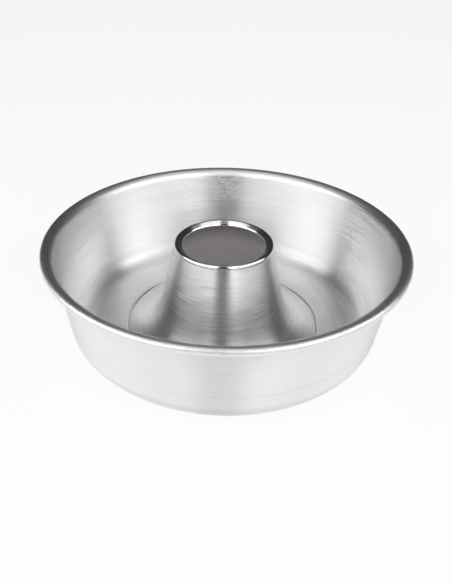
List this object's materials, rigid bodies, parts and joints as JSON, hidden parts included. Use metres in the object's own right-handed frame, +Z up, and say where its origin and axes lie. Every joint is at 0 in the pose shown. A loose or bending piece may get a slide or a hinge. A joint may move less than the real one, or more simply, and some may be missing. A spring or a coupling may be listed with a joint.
{
  "type": "tube pan",
  "caption": "Round aluminium tube pan: leaning wall with a rolled rim over a wire, and a separate hollow tube seamed into the floor.",
  "frame": {"origin": "on the tube's axis, on the surface that the pan stands on", "axes": "+Z up along the axis of the tube, out of the pan's open top; +X and +Y alike, as the pan is round"},
  "size_m": [0.254, 0.254, 0.0755],
  "materials": {
    "pan_aluminium": "brushed",
    "tube_aluminium": "brushed",
    "rim_wire_steel": "galvanised"
  },
  "bodies": {
    "root": {"pan_shell": "pan_aluminium", "centre_tube": "tube_aluminium", "rim_wire": "rim_wire_steel"}
  },
  "joints": []
}
